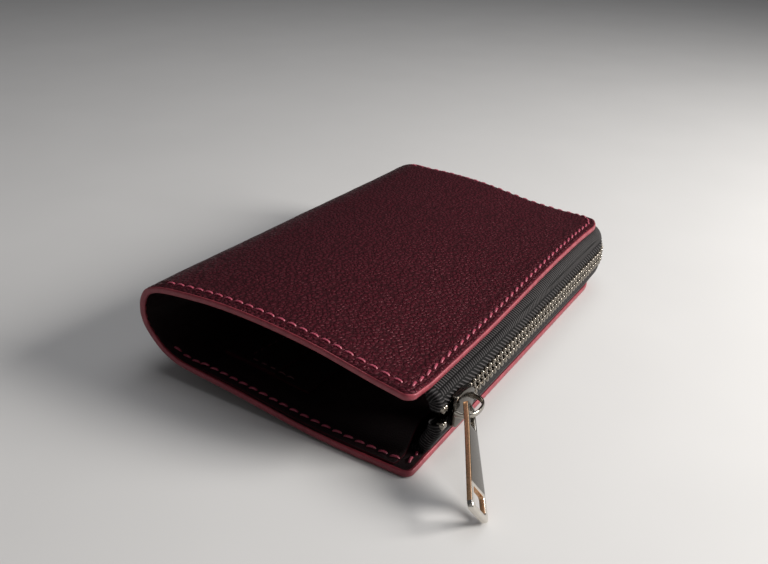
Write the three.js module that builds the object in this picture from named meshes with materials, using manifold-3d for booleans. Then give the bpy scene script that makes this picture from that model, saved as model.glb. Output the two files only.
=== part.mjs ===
// Compact zip wallet: one folded leather shell, stitched round three sides, closed
// by an L-shaped zip along one long side and the far short side.
// Millimetres, +Z up. The wallet lies on its back cover with its spine towards -X
// and the long zip side towards +X; the short side at low Y has no zip.
import * as THREE from 'three';
import { mergeVertices } from 'three/addons/utils/BufferGeometryUtils.js';
import Module from 'manifold-3d';

const wasm = await Module();
wasm.setup();

// ---- driving dimensions -------------------------------------------------
const COVER_W = 77.0;        // spine to zip edge, across the cover
const COVER_L = 118.5;       // along the zip
const CORNER_R = 12.0;       // far outer corner of the covers
const NEAR_R = 2.0;          // near outer corner of the covers
const ZIP_EDGE_TOP = 21.0;   // outer face of the front cover at the zip edge
const FAR_DROP = 1.3;        // the front cover rolls down this much at its far edge
// the front cover's zip edge sags near the open side and rises towards the far side
const sway = (x, y) => (2.05 * smooth(28, 84, y) - 0.85 * smooth(0, 9, y) - 0.9 * smooth(92, 118, y)) * smooth(30, 74, x);
const HINGE_Z = 16.0;        // height of the fold line in the spine
const OUTER_T = 1.0;         // outer leather
const LINING_T = 0.6;        // lining leather
const LEAF_T = 0.5;          // card slot leather
const PANEL_T = 0.8;         // slip pocket leather
const GAP = 0.05;            // air between stacked leaves
const STITCH_INSET = 3.0;    // seam to edge
const CHAIN_OUT = 2.5;       // chain centre outside the cover edge
const CHAIN_Z = 12.0;        // chain centre height
const CHAIN_HALF = 3.0;      // half width of the closed chain
const CHAIN_T = 2.3;         // chain thickness
const TEETH_GAP = 0.5;       // each row stops this far from the chain's centre
const TOOTH_PITCH = 2.0;
const TAPE_T = 0.6;
const TAPE_START = 7.0;      // tape ends, from the near edge
const TEETH_START = 20.4;    // first tooth beyond the parked slider
const FAR_END_X = 15.0;      // zip ends here on the far short side
const SLIDER_Y = 15.2;       // slider centre, parked at the near end
const SLIDER_LEN = 9.4;
const SLIDER_HALF_W = 3.9;
const PLATE_T = 0.7;
const WEB_T = 0.5;
const PULL_LEN = 24.5;       // pivot to tip
const PULL_T = 1.2;
const PIVOT = new THREE.Vector3(83.15, 13.75, 12.88);
const PULL_DIR = new THREE.Vector3(0.50, -0.775, -0.385).normalize();
const PULL_SIDE_HINT = new THREE.Vector3(0.25, 0.47, -0.846);

// ---- helpers ------------------------------------------------------------
const smooth = (a, b, x) => { const t = Math.min(1, Math.max(0, (x - a) / (b - a))); return t * t * (3 - 2 * t); };
const lerp = (a, b, t) => a + (b - a) * t;

function finish(geo) {
  const g = geo.index ? geo.clone() : geo.clone();
  g.deleteAttribute('normal');
  if (g.getAttribute('uv')) g.deleteAttribute('uv');
  const m = mergeVertices(g, 1e-4);
  const p = m.getAttribute('position'), idx = m.index.array;
  let vol = 0;
  const a = new THREE.Vector3(), b = new THREE.Vector3(), c = new THREE.Vector3();
  for (let i = 0; i < idx.length; i += 3) {
    a.fromBufferAttribute(p, idx[i]); b.fromBufferAttribute(p, idx[i + 1]); c.fromBufferAttribute(p, idx[i + 2]);
    vol += a.dot(b.cross(c));
  }
  if (vol < 0) for (let i = 0; i < idx.length; i += 3) { const t = idx[i]; idx[i] = idx[i + 1]; idx[i + 1] = t; }
  m.computeVertexNormals();
  return m;
}

function solid(geo) {
  const g = finish(geo);
  return new wasm.Manifold(new wasm.Mesh({
    numProp: 3,
    vertProperties: new Float32Array(g.getAttribute('position').array),
    triVerts: new Uint32Array(g.index.array),
  }));
}

function fromSolid(s) {
  const m = s.getMesh();
  const g = new THREE.BufferGeometry();
  g.setAttribute('position', new THREE.BufferAttribute(new Float32Array(m.vertProperties), 3));
  g.setIndex(new THREE.BufferAttribute(new Uint32Array(m.triVerts), 1));
  return finish(g);
}

// A box whose grid lines are moved by map(u, v, w): u and v are the given stations.
function mapped(us, vs, map, ws = [0, 1]) {
  const nu = us.length - 1, nv = vs.length - 1, nw = ws.length - 1;
  const g = new THREE.BoxGeometry(1, 1, 1, nu, nv, nw);
  const p = g.getAttribute('position');
  for (let i = 0; i < p.count; i++) {
    const u = us[Math.round((p.getX(i) + 0.5) * nu)];
    const v = vs[Math.round((p.getY(i) + 0.5) * nv)];
    const w = ws[Math.round((p.getZ(i) + 0.5) * nw)];
    const q = map(u, v, w);
    p.setXYZ(i, q.x, q.y, q.z);
  }
  // Both broad faces share one diagonal, so that stacked leaves stay parallel.
  const ix = g.index.array, low = g.groups[5];
  for (let i = low.start; i < low.start + low.count; i += 6) {
    const [a, b, d, , c] = [ix[i], ix[i + 1], ix[i + 2], ix[i + 3], ix[i + 4]];
    ix.set([a, b, c, a, c, d], i);
  }
  return finish(g);
}

const root = new THREE.Group();
function add(name, geometry, color, roughness, metalness = 0, group = root) {
  const mesh = new THREE.Mesh(geometry, new THREE.MeshStandardMaterial({ color, roughness, metalness }));
  mesh.name = name;
  group.add(mesh);
  return mesh;
}

// ---- the folded shell ---------------------------------------------------
// Outer face of the shell in the XZ plane. Each half runs from its zip edge to the
// fold line in the spine. The near end bulges more than the far end.
const V2 = (pts) => new THREE.SplineCurve(pts.map(([x, z]) => new THREE.Vector2(x, z)));
const backNear = V2([[77, 0], [70, 0], [62, 0.05], [54, 0.45], [47, 1.0], [40, 1.8], [32, 2.7], [24, 3.5], [17, 4.1], [11, 4.9], [6.4, 6.9], [3.2, 9.8], [0.9, 13.0], [0, 16]]);
const backFar = V2([[77, 0], [70, 0], [62, 0], [54, 0], [47, 0], [40, 0], [32, 0], [24, 0], [17, 0.15], [11, 1.3], [6.4, 3.9], [3.2, 7.4], [0.9, 11.6], [0, 16]]);
const frontNear = V2([[0, 16], [0.45, 19.6], [2.4, 23.0], [5.6, 24.8], [10, 25.7], [16, 26.3], [24, 26.8], [32, 26.8], [40, 26.4], [48, 25.7], [56, 24.7], [64, 23.2], [70.5, 22.0], [77, 21.0]]);
const frontFar = V2([[0, 16], [0.45, 19.2], [2.2, 22.3], [5.4, 24.3], [10, 25.6], [16, 25.9], [24, 25.8], [32, 25.3], [40, 24.5], [48, 23.3], [56, 22.1], [64, 21.4], [70.5, 21.0], [77, 21.0]]);

const edgeX = (y) => {
  if (y < NEAR_R) return COVER_W - NEAR_R + Math.sqrt(Math.max(0, NEAR_R ** 2 - (NEAR_R - y) ** 2));
  const c = COVER_L - CORNER_R;
  if (y > c) return COVER_W - CORNER_R + Math.sqrt(Math.max(0, CORNER_R ** 2 - (y - c) ** 2));
  return COVER_W;
};
const INNER_X = 30;
const squeeze = (x, y) => (x > INNER_X ? INNER_X + (x - INNER_X) * (edgeX(y) - INNER_X) / (COVER_W - INNER_X) : x);

// Point of the shell at station u (0 zip edge .. 1 fold line for the back, the other
// way round for the front), at y, at depth `off` inside the outer face.
function shellPoint(side, u, y, off) {
  const near = side === 'back' ? backNear : frontNear, far = side === 'back' ? backFar : frontFar;
  const k = side === 'back' ? smooth(0, 55, y) : smooth(0, COVER_L, y);
  const at = (t) => {
    const a = near.getPointAt(t), b = far.getPointAt(t), x = lerp(a.x, b.x, k);
    const drop = side === 'front' ? FAR_DROP * smooth(COVER_L - 5.5, COVER_L, y) * smooth(4, 16, x) : 0;
    return new THREE.Vector2(x, lerp(a.y, b.y, k) - drop + (side === 'front' ? sway(x, y) : 0));
  };
  const p = at(u), e = 1e-3;
  let tan;
  if (u < e) tan = at(u + e).sub(p);
  else if (u > 1 - e) tan = p.clone().sub(at(u - e));
  else tan = at(u + e).sub(at(u - e));
  tan.normalize();
  if (side === 'back' && u > 0.999) tan.set(0, 1);
  if (side === 'front' && u < 0.001) tan.set(0, 1);
  if (side === 'back' && u < 0.001) tan.set(-1, 0);
  const n = side === 'back' ? new THREE.Vector2(tan.y, -tan.x) : new THREE.Vector2(tan.y, -tan.x);
  return new THREE.Vector3(squeeze(p.x + n.x * off, y), y, p.y + n.y * off);
}
const zipStationsY = [0, 0.6, 2, 4.2, 9, 22, 38, 56, 80, 106.5];
for (const d of [22, 42, 60, 76, 90]) zipStationsY.push(COVER_L - CORNER_R + CORNER_R * Math.sin(d * Math.PI / 180));
const Y = zipStationsY;
const U = {
  back: [0, 0.12, 0.26, 0.40, 0.52, 0.63, 0.71, 0.77, 0.82, 0.865, 0.905, 0.94, 0.97, 1],
  front: [0, 0.03, 0.065, 0.10, 0.135, 0.175, 0.23, 0.31, 0.40, 0.50, 0.60, 0.70, 0.79, 0.87, 0.94, 1],
};
const range = (list, a, b) => [...new Set([a, ...list.filter((t) => t > a + 1e-3 && t < b - 1e-3), b])];

function leaf(side, u0, u1, y0, y1, o0, o1, lift = () => 0) {
  const us = range(U[side], u0, u1), ys = range(Y, y0, y1);
  const dir = side === 'back' ? 1 : -1;
  const cut = side === 'back' ? -0.03 : 0.03; // keeps the two halves apart at the fold line
  return mapped(us, ys, (u, y, w) => {
    const p = shellPoint(side, u, y, lerp(o0, o1, w));
    p.z += dir * lift(p.x, y);
    if ((side === 'back' && u === 1) || (side === 'front' && u === 0)) p.z += cut;
    return p;
  });
}
const LIN0 = OUTER_T + GAP, LIN1 = LIN0 + LINING_T;
const BURGUNDY = 0x4a1420, LINING = 0x3a1018, BLACK = 0x17171a, NICKEL = 0xc9c5bf, THREAD = 0xa8405a;

add('outer_shell_back', leaf('back', 0, 1, 0, COVER_L, 0, OUTER_T), BURGUNDY, 0.6);
add('lining_back', leaf('back', 0, 1, 0, COVER_L, LIN0, LIN1), LINING, 0.65);
add('outer_shell_front', leaf('front', 0, 1, 0, COVER_L, 0, OUTER_T), BURGUNDY, 0.6);
add('lining_front', leaf('front', 0, 1, 0, COVER_L, LIN0, LIN1), LINING, 0.65);

const S0 = COVER_L - CORNER_R;   // end of the straight zip side
// Slip pockets: the free edge faces the zip. The back one gapes along its free edge.
const P0 = LIN1 + GAP, P1 = P0 + PANEL_T;
const gape = (x, y) => 4.6 * smooth(46, 72.5, x) * smooth(4.2, 11, y) * (1 - 0.75 * smooth(70, 104, y));
add('slip_pocket_back', leaf('back', 0.045, 0.71, 0.6, S0, P0, P1, gape), LINING, 0.6);
add('slip_pocket_front', leaf('front', 0.31, 0.91, 9, S0, P0, P1), LINING, 0.6);
// Card slots, stepped towards the zip.
let off = P1 + GAP;
[0.79, 0.70, 0.60].forEach((u1, i) => {
  add('card_slot_front_' + (i + 1), leaf('front', 0.31, u1, 9, 80, off, off + LEAF_T), LINING, 0.6);
  off += LEAF_T + GAP;
});
off = P1 + GAP;
[0.40, 0.52].forEach((u0, i) => {
  add('card_slot_back_' + (i + 1), leaf('back', u0, 0.71, 9, 80, off, off + LEAF_T, gape), LINING, 0.6);
  off += LEAF_T + GAP;
});

// ---- the zip ------------------------------------------------------------
// Path along the cover edge, offset outwards by d.
const S1 = COVER_L - CORNER_R, S2 = S1 + CORNER_R * Math.PI / 2, S3 = S2 + (COVER_W - CORNER_R - FAR_END_X);
function along(s, d) {
  if (s <= S1) return [COVER_W + d, s];
  if (s <= S2) { const a = (s - S1) / CORNER_R; return [COVER_W - CORNER_R + (CORNER_R + d) * Math.cos(a), S1 + (CORNER_R + d) * Math.sin(a)]; }
  return [COVER_W - CORNER_R - (s - S2), COVER_L + d];
}
// Height of the innermost face of the lining above (or below) a point of the cover.
function liningZ(side, x, y) {
  const yy = Math.min(COVER_L, Math.max(0, y));
  let lo = 0, hi = 1;
  for (let i = 0; i < 40; i++) {
    const m = (lo + hi) / 2, px = shellPoint(side, m, yy, LIN1).x;
    if ((px > x) === (side === 'back')) lo = m; else hi = m;
  }
  return shellPoint(side, (lo + hi) / 2, yy, LIN1).z;
}
const sStations = [TAPE_START, 10.5, 20, 42, 64, 86, S1];
for (let i = 1; i <= 7; i++) sStations.push(S1 + (S2 - S1) * i / 7);
for (let i = 1; i <= 5; i++) sStations.push(S2 + (S3 - S2) * i / 5);

function tapeProfile(side, s) {
  const up = side === 'front' ? -1 : 1;
  const [ex, ey] = along(s, 0);
  const at = (d) => { const [x, y] = along(s, d); return liningZ(side, Math.min(x, edgeX(Math.min(y, COVER_L)) - 0.01), y) + up * (TAPE_T / 2 + 0.22); };
  const zEdge = at(-0.4);
  const zClip = CHAIN_Z - up * (CHAIN_HALF + 1.2);
  const zEnd = CHAIN_Z - up * (CHAIN_HALF + GAP);
  const z1 = zEdge + up * 0.75;
  return [
    [-5, at(-5)], [-2.2, at(-2.2)], [-0.2, zEdge + up * 0.05], [0.9, z1],
    [1.9, lerp(z1, zClip, 0.38)], [CHAIN_OUT, zClip], [CHAIN_OUT, zEnd],
  ];
}
function tape(side) {
  const cache = new Map();
  const vs = [0, 1, 2, 3, 4, 5, 6];
  return mapped(sStations, vs, (s, v, w) => {
    if (!cache.has(s)) cache.set(s, tapeProfile(side, s));
    const pr = cache.get(s), a = pr[Math.max(0, v - 1)], b = pr[Math.min(6, v + 1)];
    const t = new THREE.Vector2(b[0] - a[0], b[1] - a[1]).normalize();
    const o = (w - 0.5) * TAPE_T;
    const d = pr[v][0] - t.y * o, z = pr[v][1] + t.x * o;
    const [x, y] = along(s, v === 6 ? CHAIN_OUT + (w - 0.5) * TAPE_T * (side === 'front' ? 1 : -1) : d);
    return new THREE.Vector3(x, y, v === 6 ? pr[6][1] : z);
  });
}
add('zip_tape_lower', tape('back'), BLACK, 0.85);
add('zip_tape_upper', tape('front'), BLACK, 0.85);

function teeth(side) {
  const up = side === 'front' ? 1 : -1;
  const ss = [];
  const phase = side === 'front' ? 0 : TOOTH_PITCH / 2;
  for (let s = TEETH_START + phase; s < S3 - 2.6; s += TOOTH_PITCH / 2) ss.push(s);
  const zTip = CHAIN_Z + up * TEETH_GAP, zRoot = CHAIN_Z + up * (TEETH_GAP + 0.8), zBack = CHAIN_Z + up * CHAIN_HALF;
  return mapped(ss, [0, 1], (s, v, w) => {
    const i = ss.indexOf(s);
    const [x, y] = along(s, CHAIN_OUT + (w - 0.5) * CHAIN_T);
    return new THREE.Vector3(x, y, v === 0 ? (i % 2 ? zRoot : zTip) : zBack);
  });
}
add('zip_teeth_lower', teeth('back'), NICKEL, 0.3, 1);
add('zip_teeth_upper', teeth('front'), NICKEL, 0.3, 1);

function block(s0, s1, d0, d1, z0, z1) {
  return mapped([s0, s1], [d0, d1], (s, d, w) => { const [x, y] = along(s, d); return new THREE.Vector3(x, y, lerp(z0, z1, w)); });
}
const stopIn = CHAIN_OUT - 0.95, stopOut = CHAIN_OUT + 0.95;
add('top_stop_upper', block(7.6, 9.7, stopIn, stopOut, CHAIN_Z + 1.2, CHAIN_Z + CHAIN_HALF), NICKEL, 0.3, 1);
add('top_stop_lower', block(7.6, 9.7, stopIn, stopOut, CHAIN_Z - CHAIN_HALF, CHAIN_Z - 1.2), NICKEL, 0.3, 1);
add('bottom_stop', block(S3 - 2.2, S3 - 0.2, stopIn, stopOut, CHAIN_Z - CHAIN_HALF, CHAIN_Z + 0.2), NICKEL, 0.3, 1);

// Slider: two plates with turned-in flanges, joined by a thin web between the rows.
const SX = COVER_W + CHAIN_OUT;
const plateShape = (half) => {
  const a = SLIDER_LEN / 2, s = new THREE.Shape();
  const pts = [[-a + 1.2, -half], [0.5, -half], [a - 1.0, -half + 0.75], [a, -half + 1.9], [a, half - 1.9], [a - 1.0, half - 0.75], [0.5, half], [-a + 1.2, half], [-a, half - 1.1], [-a, -half + 1.1]];
  s.moveTo(...pts[0]); pts.slice(1).forEach((q) => s.lineTo(...q)); s.closePath();
  return s;
};
// shape (y, z) extruded along x
function slab(shape, x0, x1) {
  const g = new THREE.ExtrudeGeometry(shape, { depth: x1 - x0, bevelEnabled: false, curveSegments: 4 });
  const m = new THREE.Matrix4().makeBasis(new THREE.Vector3(0, 1, 0), new THREE.Vector3(0, 0, 1), new THREE.Vector3(1, 0, 0));
  g.applyMatrix4(m);
  g.translate(x0, SLIDER_Y, CHAIN_Z);
  return g;
}
const rect = (y0, y1, z0, z1) => { const s = new THREE.Shape(); s.moveTo(y0, z0); s.lineTo(y1, z0); s.lineTo(y1, z1); s.lineTo(y0, z1); s.closePath(); return s; };
const chIn = CHAIN_T / 2 + 0.15, slit = TAPE_T / 2 + 0.3, ch = CHAIN_HALF + 0.12;
let slider = solid(slab(plateShape(SLIDER_HALF_W), SX + slit, SX + chIn + PLATE_T));
slider = slider.add(solid(slab(plateShape(SLIDER_HALF_W), SX - chIn - PLATE_T, SX - slit)));
slider = slider.subtract(solid(slab(rect(-9, 9, -ch, ch), SX - chIn, SX + chIn)));
slider = slider.add(solid(slab(rect(-3.9, -0.6, -WEB_T / 2, WEB_T / 2), SX - chIn - 0.1, SX + chIn + 0.1)));
add('slider_body', fromSolid(slider), NICKEL, 0.2, 1);

// Crown: a strap arching over the slider's outer plate.
const CX0 = SX + chIn + PLATE_T + 0.03;
const crownShape = new THREE.Shape();
{
  const yc = 15.2, ho = 4.55, hi = 3.85, top = 85.45, inn = 84.8;
  const arc = (h, t) => [[0, 1], [0.55, 0.98], [0.8, 0.86], [0.95, 0.6], [1, 0.3]].map(([f, g]) => [h * f, lerp(CX0, t, g)]);
  const o = arc(ho, top), n = arc(hi, inn);
  const pts = [[CX0, yc - ho], ...o.slice().reverse().map(([h, x]) => [x, yc - h]), ...o.slice(1).map(([h, x]) => [x, yc + h]), [CX0, yc + ho],
    [CX0, yc + hi], ...n.slice().reverse().map(([h, x]) => [x, yc + h]), ...n.slice(1).map(([h, x]) => [x, yc - h]), [CX0, yc - hi]];
  crownShape.moveTo(...pts[0]); pts.slice(1).forEach((q) => crownShape.lineTo(...q)); crownShape.closePath();
}
const crownGeo = new THREE.ExtrudeGeometry(crownShape, { depth: 1.3, bevelEnabled: false });
crownGeo.translate(0, 0, CHAIN_Z - 0.65);
add('slider_crown', finish(crownGeo), NICKEL, 0.2, 1);

// Puller: tapered plate with an eye round the crown and a slot near its tip.
const side = PULL_SIDE_HINT.clone().addScaledVector(PULL_DIR, -PULL_SIDE_HINT.dot(PULL_DIR)).normalize();
const face = side.clone().cross(PULL_DIR);
const pull = new THREE.Shape();
pull.moveTo(-1.4, -0.5);
pull.lineTo(1.4, -0.5); pull.quadraticCurveTo(2.05, -0.5, 2.15, 0.4);
pull.lineTo(2.4, 6); pull.lineTo(4.2, PULL_LEN - 1.3);
pull.quadraticCurveTo(4.3, PULL_LEN, 3.0, PULL_LEN);
pull.lineTo(-3.0, PULL_LEN); pull.quadraticCurveTo(-4.3, PULL_LEN, -4.2, PULL_LEN - 1.3);
pull.lineTo(-2.4, 6); pull.lineTo(-2.15, 0.4); pull.quadraticCurveTo(-2.05, -0.5, -1.4, -0.5);
const hole = (hw, y0, y1, hw2 = hw) => { const p = new THREE.Path(); p.moveTo(-hw + 0.4, y0); p.lineTo(hw - 0.4, y0); p.lineTo(hw, y0 + 0.4); p.lineTo(hw2, y1 - 0.5); p.lineTo(hw2 - 0.5, y1); p.lineTo(-hw2 + 0.5, y1); p.lineTo(-hw2, y1 - 0.5); p.lineTo(-hw, y0 + 0.4); p.closePath(); return p; };
pull.holes.push(hole(1.5, 0.5, 5.2, 1.65), hole(2.75, 19.4, 23.2, 3.0));
const pullGeo = new THREE.ExtrudeGeometry(pull, { depth: PULL_T, bevelEnabled: false, curveSegments: 4 });
pullGeo.translate(0, 0, -PULL_T / 2);
const pullMesh = add('puller', finish(pullGeo), NICKEL, 0.2, 1);
pullMesh.applyMatrix4(new THREE.Matrix4().makeBasis(side, PULL_DIR, face).setPosition(PIVOT));

// ---- seam threads -------------------------------------------------------
// Front: on the outer face. Back: on the inner face, over the tape where there is one.
function threadPath(side) {
  const pts = [];
  const i = STITCH_INSET;
  for (const x of [16, 26, 36, 48, 60, 70, COVER_W - i - 0.6]) pts.push([x, i]);
  for (const y of [i + 0.6, 6.6, 12, 22, 38, 56, 80, S1]) pts.push([COVER_W - i, y]);
  for (let k = 1; k <= 5; k++) { const a = k / 5 * Math.PI / 2; pts.push([COVER_W - CORNER_R + (CORNER_R - i) * Math.cos(a), S1 + (CORNER_R - i) * Math.sin(a)]); }
  for (const x of [56, 46, 36, 26, 17]) pts.push([x, COVER_L - i]);
  return pts;
}
function outerZ(x, y) {
  let lo = 0, hi = 1;
  for (let k = 0; k < 40; k++) { const m = (lo + hi) / 2; if (shellPoint('front', m, y, 0).x > x) hi = m; else lo = m; }
  return shellPoint('front', (lo + hi) / 2, y, 0).z;
}
function thread(side) {
  const pts = threadPath(side), H = 0.3, W = 0.8;
  const zs = pts.map(([x, y], k) => side === 'front' ? outerZ(x, y) + 0.16
    : liningZ('back', x, y) + (k <= 7 ? PANEL_T + GAP + 0.2 : TAPE_T + 0.42));
  const ids = pts.map((_, k) => k);
  return mapped(ids, [-1, 1], (k, v, w) => {
    const a = pts[Math.max(0, k - 1)], b = pts[Math.min(pts.length - 1, k + 1)];
    const t = new THREE.Vector2(b[0] - a[0], b[1] - a[1]).normalize();
    return new THREE.Vector3(pts[k][0] - t.y * v * W / 2, pts[k][1] + t.x * v * W / 2, zs[k] + w * H);
  });
}
add('seam_thread_front', thread('front'), THREAD, 0.7);
add('seam_thread_back', thread('back'), THREAD, 0.7);

// ---- origin: middle of the footprint, on the surface it lies on ----------
root.updateMatrixWorld(true);
const bounds = new THREE.Box3().setFromObject(root, true);
root.position.set(-(bounds.min.x + bounds.max.x) / 2, -(bounds.min.y + bounds.max.y) / 2, 0);
root.updateMatrixWorld(true);

export default root;
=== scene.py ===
"""Zip wallet: the looks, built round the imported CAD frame.

Design coordinates are millimetres: x from the spine (0) to the zip edge (77), y from the
open near side (0) to the far side (118.5), z up. row() turns them into the row frame.
"""
import math

import bmesh
import bpy
import numpy as np
from mathutils import Matrix, Vector


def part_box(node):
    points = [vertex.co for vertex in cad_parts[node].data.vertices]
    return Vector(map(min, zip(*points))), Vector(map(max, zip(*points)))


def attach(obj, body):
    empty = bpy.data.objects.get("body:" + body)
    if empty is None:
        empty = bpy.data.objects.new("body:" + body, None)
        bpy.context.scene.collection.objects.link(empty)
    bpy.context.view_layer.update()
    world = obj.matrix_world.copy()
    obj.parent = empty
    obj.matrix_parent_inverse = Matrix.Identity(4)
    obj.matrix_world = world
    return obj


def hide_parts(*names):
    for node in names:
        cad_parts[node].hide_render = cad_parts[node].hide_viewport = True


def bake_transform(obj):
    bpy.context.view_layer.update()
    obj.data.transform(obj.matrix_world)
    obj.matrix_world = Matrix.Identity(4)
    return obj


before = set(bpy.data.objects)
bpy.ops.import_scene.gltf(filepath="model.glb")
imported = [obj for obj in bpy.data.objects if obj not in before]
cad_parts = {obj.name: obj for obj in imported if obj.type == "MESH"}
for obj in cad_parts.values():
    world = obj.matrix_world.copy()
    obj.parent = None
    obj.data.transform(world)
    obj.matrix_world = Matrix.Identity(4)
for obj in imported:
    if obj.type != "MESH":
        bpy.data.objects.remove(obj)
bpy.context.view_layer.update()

ORG = np.array(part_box("outer_shell_back")[0], float)


def row(p):
    return np.asarray(p, float) * 0.001 + ORG


# ---- sizes shared with the CAD ------------------------------------------
COVER_W, COVER_L, CORNER_R, NEAR_R = 77.0, 118.5, 12.0, 2.0
OUTER_T, LINING_T, GAP, PANEL_T, LEAF_T = 1.0, 0.6, 0.05, 0.8, 0.5
STITCH_INSET, STITCH_PITCH = 3.0, 3.0
CHAIN_OUT, CHAIN_Z, CHAIN_HALF, CHAIN_T = 2.5, 12.0, 3.0, 2.3
TAPE_T, TEETH_START, FAR_END_X = 0.6, 20.4, 15.0
SLIDER_Y, SLIDER_LEN, SLIDER_HALF_W, PLATE_T = 15.2, 9.4, 3.9, 0.7
PULL_LEN, PULL_T = 24.5, 1.2
PIVOT = np.array([83.15, 13.75, 12.88])
FAR_DROP = 1.3          # the front cover rolls down this much at its far edge
LIN0 = OUTER_T + GAP
LIN1 = LIN0 + LINING_T
P0 = LIN1 + GAP
P1 = P0 + PANEL_T
S1 = COVER_L - CORNER_R
S2 = S1 + CORNER_R * math.pi / 2
S3 = S2 + (COVER_W - CORNER_R - FAR_END_X)
SX = COVER_W + CHAIN_OUT


def smooth(a, b, x):
    t = np.clip((np.asarray(x, float) - a) / (b - a), 0, 1)
    return t * t * (3 - 2 * t)


# ---- the folded shell's surface ------------------------------------------
class Spline:
    def __init__(self, pts, n=2400):
        p = np.array(pts, float)
        m = len(p)
        t = np.linspace(0, m - 1, n + 1)
        i = np.minimum(t.astype(int), m - 2)
        f = (t - i)[:, None]
        q = lambda k: p[np.clip(k, 0, m - 1)]
        a, b, c, d = q(i - 1), q(i), q(i + 1), q(i + 2)
        v0, v1 = (c - a) / 2, (d - b) / 2
        self.p = (2 * b - 2 * c + v0 + v1) * f**3 + (-3 * b + 3 * c - 2 * v0 - v1) * f**2 + v0 * f + b
        s = np.r_[0, np.cumsum(np.linalg.norm(np.diff(self.p, axis=0), axis=1))]
        self.length = s[-1]
        self.s = s / s[-1]

    def at(self, u):
        return np.interp(u, self.s, self.p[:, 0]), np.interp(u, self.s, self.p[:, 1])


BACK_NEAR = Spline([[77, 0], [70, 0], [62, 0.05], [54, 0.45], [47, 1.0], [40, 1.8], [32, 2.7], [24, 3.5], [17, 4.1], [11, 4.9], [6.4, 6.9], [3.2, 9.8], [0.9, 13.0], [0, 16]])
BACK_FAR = Spline([[77, 0], [70, 0], [62, 0], [54, 0], [47, 0], [40, 0], [32, 0], [24, 0], [17, 0.15], [11, 1.3], [6.4, 3.9], [3.2, 7.4], [0.9, 11.6], [0, 16]])
FRONT_NEAR = Spline([[0, 16], [0.45, 19.6], [2.4, 23.0], [5.6, 24.8], [10, 25.7], [16, 26.3], [24, 26.8], [32, 26.8], [40, 26.4], [48, 25.7], [56, 24.7], [64, 23.2], [70.5, 22.0], [77, 21.0]])
FRONT_FAR = Spline([[0, 16], [0.45, 19.2], [2.2, 22.3], [5.4, 24.3], [10, 25.6], [16, 25.9], [24, 25.8], [32, 25.3], [40, 24.5], [48, 23.3], [56, 22.1], [64, 21.4], [70.5, 21.0], [77, 21.0]])
ARC_B = (BACK_NEAR.length + BACK_FAR.length) / 2
ARC_F = (FRONT_NEAR.length + FRONT_FAR.length) / 2


def edge_x(y):
    y = np.asarray(y, float)
    near = COVER_W - NEAR_R + np.sqrt(np.maximum(0, NEAR_R**2 - (NEAR_R - y) ** 2))
    far = COVER_W - CORNER_R + np.sqrt(np.maximum(0, CORNER_R**2 - (y - S1) ** 2))
    return np.where(y < NEAR_R, near, np.where(y > S1, far, COVER_W))


def squeeze(x, y):
    return np.where(x > 30, 30 + (x - 30) * (edge_x(y) - 30) / (COVER_W - 30), x)


def sway(x, y):
    """The front cover's zip edge sags near the open side and rises towards the far side."""
    return (2.05 * smooth(28, 84, y) - 0.85 * smooth(0, 9, y) - 0.9 * smooth(92, 118, y)) * smooth(30, 74, x)


def half(side, u, y, off):
    """Point and inward normal of one half of the shell, off mm inside its outer face."""
    u, y, off = np.broadcast_arrays(np.asarray(u, float), np.asarray(y, float), np.asarray(off, float))
    near, far = (BACK_NEAR, BACK_FAR) if side == "back" else (FRONT_NEAR, FRONT_FAR)
    k = smooth(0, 55, y) if side == "back" else smooth(0, COVER_L, y)

    def at(t):
        ax, az = near.at(t)
        bx, bz = far.at(t)
        x = ax + (bx - ax) * k
        return x, az + (bz - az) * k + (sway(x, y) if side == "front" else 0)

    px, pz = at(u)
    e = 2e-3
    x0, z0 = at(np.clip(u - e, 0, 1))
    x1, z1 = at(np.clip(u + e, 0, 1))
    tx, tz = x1 - x0, z1 - z0
    h = np.hypot(tx, tz)
    tx, tz = tx / h, tz / h
    # the two halves meet upright at the fold line
    if side == "front":
        pz = pz - FAR_DROP * smooth(COVER_L - 5.5, COVER_L, y) * smooth(4, 16, px)
    w = smooth(0.985, 1.0, u) if side == "back" else 1 - smooth(0.0, 0.015, u)
    tx, tz = tx * (1 - w), tz * (1 - w) + w
    h = np.hypot(tx, tz)
    nx, nz = tz / h, -tx / h
    return np.stack([squeeze(px + nx * off, y), y, pz + nz * off], -1), np.stack([nx, 0 * nx, nz], -1)


def shell(w, y, off):
    """The same over both halves: w runs 0 (back zip edge), 1 (fold line), 2 (front zip edge)."""
    w, y, off = np.broadcast_arrays(np.asarray(w, float), np.asarray(y, float), np.asarray(off, float))
    pb, nb = half("back", np.clip(w, 0, 1), y, off)
    pf, nf = half("front", np.clip(w - 1, 0, 1), y, off)
    m = (w <= 1)[..., None]
    return np.where(m, pb, pf), np.where(m, nb, nf)


def u_at(side, x, y, off):
    """The station whose point at that depth has this x."""
    us = np.linspace(0, 1, 900)
    p, _ = half(side, us, y, off)
    xs = p[:, 0]
    return float(np.interp(x, xs[::-1], us[::-1]) if side == "back" else np.interp(x, xs, us))


def rim(x, y):
    """Distance in from the cover's three stitched edges."""
    d = np.minimum(np.minimum(COVER_W - x, y), COVER_L - y)
    a = (x > COVER_W - CORNER_R) & (y > S1)
    d = np.where(a, CORNER_R - np.hypot(x - (COVER_W - CORNER_R), y - S1), d)
    a = (x > COVER_W - NEAR_R) & (y < NEAR_R)
    return np.where(a, NEAR_R - np.hypot(x - (COVER_W - NEAR_R), y - NEAR_R), d)


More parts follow.
